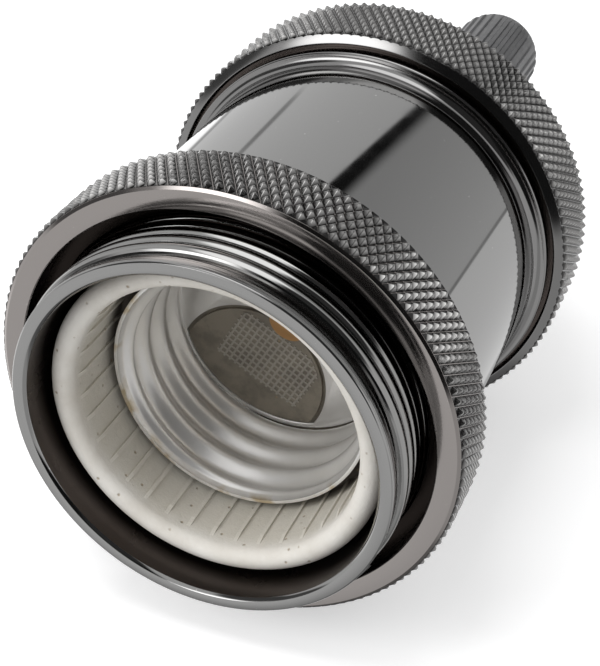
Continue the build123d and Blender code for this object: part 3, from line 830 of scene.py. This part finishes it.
RING_STEPS = 150
LIP_FLARE = 0.55
lift = (FLOOR_Z - SHELL_LIP) / RING_STEPS
clear_selection()
bpy.ops.mesh.primitive_circle_add(vertices=180, radius=SHELL_MEAN * MM,
                                  location=(0, 0, SHELL_LIP * MM))
thread_shell = bpy.context.object
thread_shell.name = thread_shell.data.name = "thread_shell"
bpy.ops.object.transform_apply(location=True)
bpy.ops.object.mode_set(mode="EDIT")
bpy.ops.mesh.select_all(action="SELECT")
last_x, last_y = 0.0, 0.0
for ring in range(1, RING_STEPS + 1):
    x, y = shell_centre(SHELL_LIP + lift * ring)
    bpy.ops.mesh.extrude_edges_move(TRANSFORM_OT_translate={
        "value": ((x - last_x) * MM, (y - last_y) * MM, lift * MM)})
    last_x, last_y = x, y
bpy.ops.mesh.select_all(action="SELECT")
bpy.ops.mesh.normals_make_consistent(inside=False)
bpy.ops.object.mode_set(mode="OBJECT")
for vertex in thread_shell.data.vertices:
    flare = max(0.0, 1.0 - (vertex.co.z / MM - SHELL_LIP) / (THREAD_FOOT - SHELL_LIP))
    grow = 1.0 + LIP_FLARE / SHELL_MEAN * flare * flare * (3 - 2 * flare)
    vertex.co.x *= grow
    vertex.co.y *= grow
apply_modifier(thread_shell, "SOLIDIFY", thickness=SHEET * MM, offset=1.0)
round_edges(thread_shell, 0.1, 3, 60)


def new_cylinder(name, radius, low, high, centre=(0, 0), vertices=96):
    """A cylinder between two heights, to be shaped or to cut with."""
    clear_selection()
    bpy.ops.mesh.primitive_cylinder_add(
        vertices=vertices, radius=radius * MM, depth=(high - low) * MM,
        location=(centre[0] * MM, centre[1] * MM, (low + high) / 2 * MM))
    piece = bpy.context.object
    piece.name = piece.data.name = name
    bpy.ops.object.transform_apply(location=True)
    return piece


def carve(piece, cutter, operation="DIFFERENCE"):
    """Cuts one piece by another and removes the cutter."""
    apply_modifier(piece, "BOOLEAN", operation=operation, object=cutter, solver="EXACT")
    bpy.data.objects.remove(cutter)


BOTTOM_RADIUS = 12.55
PAD_HOLE_RADIUS = 8.5
PAD_HOLE_LIMIT = 12.0
SLOT_SIZE = (8.0, 12.0, 2.0)
SLOT_Y = -6.0
TAB_SIZE = (6.0, SHEET, 15.9)
TAB_PLACE = (0, 12.555, 29.65)
shell_bottom = new_cylinder("shell_bottom", BOTTOM_RADIUS, FLOOR_Z - SHEET, FLOOR_Z, vertices=120)
pad_hole = new_cylinder("pad_hole", PAD_HOLE_RADIUS, FLOOR_Z - 1, FLOOR_Z + 1, (0, PAD_Y))
pad_limit = new_cylinder("pad_limit", PAD_HOLE_LIMIT, FLOOR_Z - 2, FLOOR_Z + 2)
carve(pad_hole, pad_limit, "INTERSECT")
carve(shell_bottom, pad_hole)
spring_slot = new_block("spring_slot", SLOT_SIZE, (0, SLOT_Y, FLOOR_Z))
round_edges(spring_slot, 0.8, 4)
carve(shell_bottom, spring_slot)
round_edges(shell_bottom, 0.06, 2, 40)
shell_tab = new_block("shell_tab", TAB_SIZE, TAB_PLACE)
round_edges(shell_tab, 0.06, 2)
join(thread_shell, shell_bottom, shell_tab)
thread_shell.data.materials.clear()
thread_shell.data.materials.append(rolled_aluminium)
smooth(thread_shell, 50, even=False)
dress(thread_shell, "cap", "shell_metal", "screw_shell")


# Centre contact. A tongue of spring bronze, blanked and bent, with its rounded tip raised
# over the recess in the pad. Brass rivets hold it and the shell to the ceramic.
def cast_finish(name, colour, metallic, polish, grain_scale, grain_depth, spread=0.15):
    """A finish with a fine uneven grain in its colour, its polish and its surface."""
    material, nodes, links, shader, place = new_material(name)
    grain = noise_node(nodes, links, place, grain_scale, 4.0, 0.6)
    patches = noise_node(nodes, links, place, grain_scale / 6, 3.0, 0.6)
    dull = tuple(part * 0.8 for part in colour[:3]) + (1,)
    links.new(colour_mix(nodes, links, map_node(nodes, links, patches, 0.4, 0.7), colour, dull),
              shader.inputs["Base Color"])
    shader.inputs["Metallic"].default_value = metallic
    links.new(map_node(nodes, links, grain, 0.3, 0.7, polish, polish + spread),
              shader.inputs["Roughness"])
    bump_node(nodes, links, grain, grain_depth, shader)
    return material


spring_bronze = cast_finish("spring_bronze", (0.80, 0.47, 0.22, 1), 1.0, 0.26, 900.0, 0.01)
turned_brass = cast_finish("turned_brass", (0.75, 0.60, 0.33, 1), 1.0, 0.25, 900.0, 0.01)
BLANKED_ANGLE = 30


def blanked(name, node, finish, width):
    """A piece from a node's own solid with its flat faces made whole and its edges broken."""
    piece = own_solid(name, node, finish, BLANKED_ANGLE)
    bpy.ops.object.mode_set(mode="EDIT")
    bpy.ops.mesh.select_all(action="SELECT")
    bpy.ops.mesh.dissolve_limited(angle_limit=radians(0.5))
    bpy.ops.object.mode_set(mode="OBJECT")
    round_edges(piece, width, 2, BLANKED_ANGLE)
    smooth(piece, BLANKED_ANGLE + 5)
    return piece


contact_tongue = blanked("contact_tongue", "centre_contact", spring_bronze, 0.08)
dress(contact_tongue, "contact", "bronze", "centre_contact")
tongue_rivet = blanked("tongue_rivet", "contact_rivet", turned_brass, 0.12)
dress(tongue_rivet, "cap", "brass", "contact_rivet")
bottom_rivets = blanked("bottom_rivets", "shell_rivets", turned_brass, 0.12)
dress(bottom_rivets, "cap", "brass", "shell_rivets")


# Terminals and bridge. Brass blocks with steel screws behind the ceramic, and a bent steel
# strap that carries the insert from the stem of the cord grip. They keep their solids.
zinc_steel = cast_finish("zinc_plated_steel", (0.62, 0.63, 0.64, 1), 1.0, 0.3, 900.0, 0.01)
for finish, names in (
        (turned_brass, ("live_terminal", "neutral_terminal", "earth_washer")),
        (zinc_steel, ("terminal_screws", "bridge", "bridge_screws", "bridge_nuts",
                      "earth_screw", "lock_washer", "lock_nut"))):
    for name in names:
        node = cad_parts[name]
        node.data.materials.clear()
        node.data.materials.append(finish)


# Cord grip. A hexagon body and a ribbed hood nut turned from light alloy and left satin,
# soft jaws of nylon, and a rubber seal that closes on the cord.
satin_grip = cast_finish("satin_grip_metal", (0.25, 0.25, 0.255, 1), 1.0, 0.30, 1500.0, 0.012, 0.12)
moulded_nylon = cast_finish("moulded_nylon", (0.78, 0.77, 0.72, 1), 0.0, 0.45, 700.0, 0.02)
seal_rubber = cast_finish("seal_rubber", (0.03, 0.03, 0.03, 1), 0.0, 0.6, 700.0, 0.02)
ribbed_nut = own_solid("ribbed_nut", "grip_nut", satin_grip, 32)
dress(ribbed_nut, "nut", "grip_metal", "grip_nut")
for finish, name in ((satin_grip, "grip_body"), (moulded_nylon, "grip_jaws"),
                     (seal_rubber, "grip_seal")):
    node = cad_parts[name]
    node.data.materials.clear()
    node.data.materials.append(finish)

bpy.context.scene.view_settings.view_transform = "Standard"
